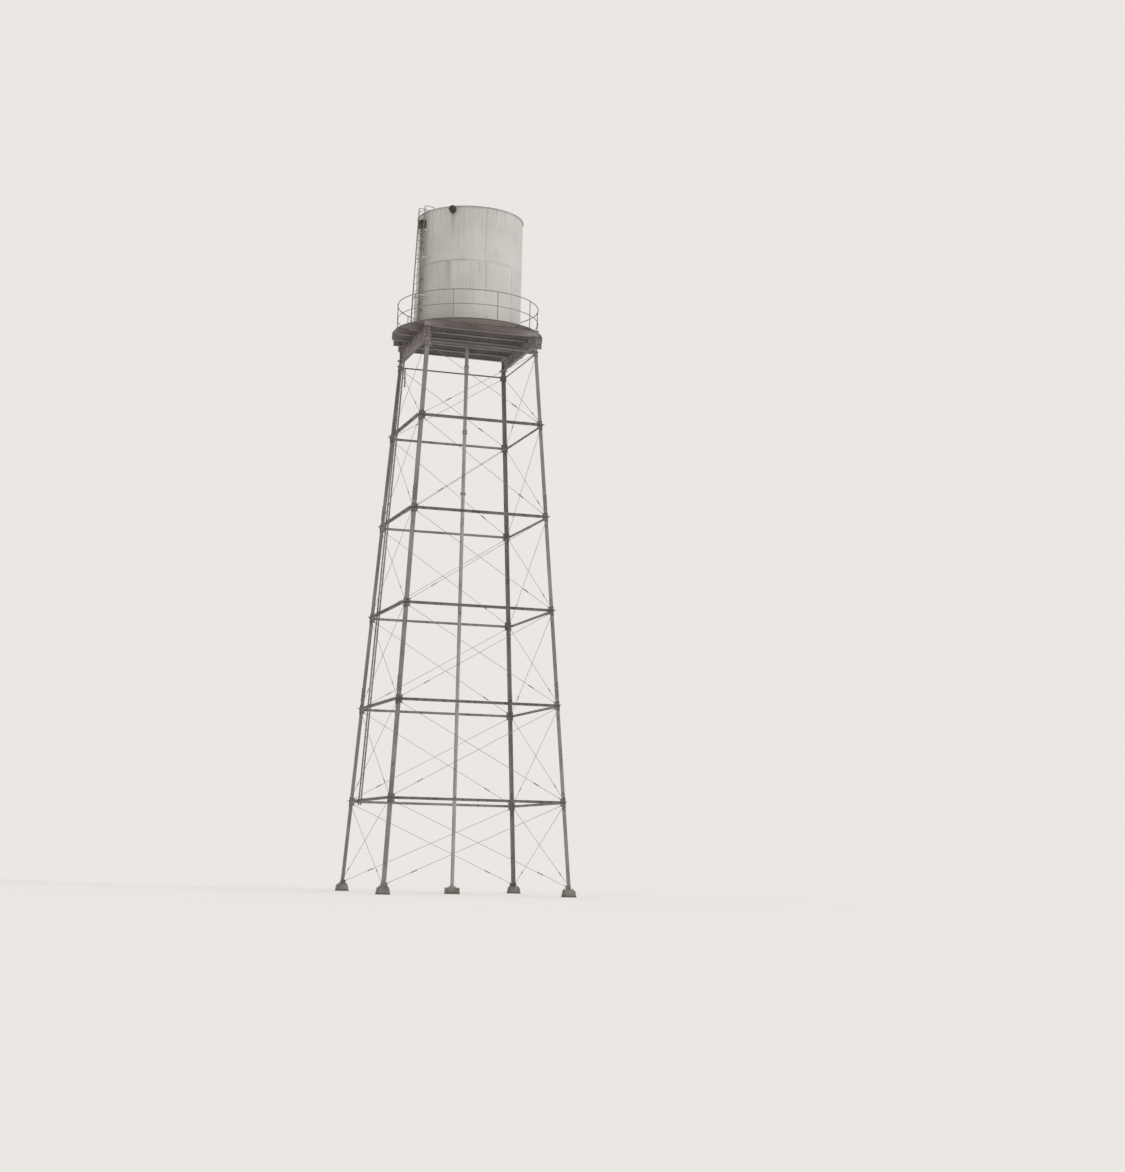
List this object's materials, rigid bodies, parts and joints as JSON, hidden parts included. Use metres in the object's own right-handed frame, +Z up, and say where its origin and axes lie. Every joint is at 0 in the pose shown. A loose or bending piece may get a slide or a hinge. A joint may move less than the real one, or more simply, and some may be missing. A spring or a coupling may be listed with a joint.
{
  "type": "water tower",
  "caption": "Elevated water tank: a round steel tank on a joisted deck, on four leaning legs braced with struts and crossed rods, with a riser pipe, ladders and a handrail.",
  "frame": {"origin": "centre of the four footings, at ground level", "axes": "+Z up, -Y the front face, -X the left face, which carries the tower ladder"},
  "size_m": [7.78, 7.78, 27.7644],
  "materials": {
    "structure": "weathered dark grey paint with rust at the joints",
    "girders": "weathered mid grey paint",
    "joists": "dark weathered paint",
    "tank_paint": "chalky light grey paint with rust streaks",
    "fittings": "rusted dark iron",
    "concrete": "weathered concrete",
    "planks": "weathered dark timber"
  },
  "bodies": {
    "root": {"pier_front_left": "concrete", "pier_front_right": "concrete", "pier_back_right": "concrete", "pier_back_left": "concrete", "leg_front_left": "structure", "leg_front_right": "structure", "leg_back_right": "structure", "leg_back_left": "structure", "strut_ring_1": "structure", "strut_ring_2": "structure", "strut_ring_3": "structure", "strut_ring_4": "structure", "strut_ring_5": "structure", "strut_ring_head": "structure", "rods_front_1": "structure", "rods_right_1": "structure", "rods_back_1": "structure", "rods_left_1": "structure", "rods_front_2": "structure", "rods_right_2": "structure", "rods_back_2": "structure", "rods_left_2": "structure", "rods_front_3": "structure", "rods_right_3": "structure", "rods_back_3": "structure", "rods_left_3": "structure", "rods_front_4": "structure", "rods_right_4": "structure", "rods_back_4": "structure", "rods_left_4": "structure", "rods_front_5": "structure", "rods_right_5": "structure", "rods_back_5": "structure", "rods_left_5": "structure", "rods_front_6": "structure", "rods_right_6": "structure", "rods_back_6": "structure", "rods_left_6": "structure", "girder_left": "girders", "girder_right": "girders", "joist_1": "joists", "joist_2": "joists", "joist_3": "joists", "joist_4": "joists", "joist_5": "joists", "joist_6": "joists", "deck": "planks", "tank_floor": "tank_paint", "tank_lower_course": "tank_paint", "tank_upper_course": "tank_paint", "tank_roof": "tank_paint", "roof_hatch": "tank_paint", "riser_pipe": "structure", "riser_base": "concrete", "overflow": "fittings", "gauge_head": "fittings", "tower_ladder": "structure", "tank_ladder": "structure", "handrail": "girders"}
  },
  "joints": []
}
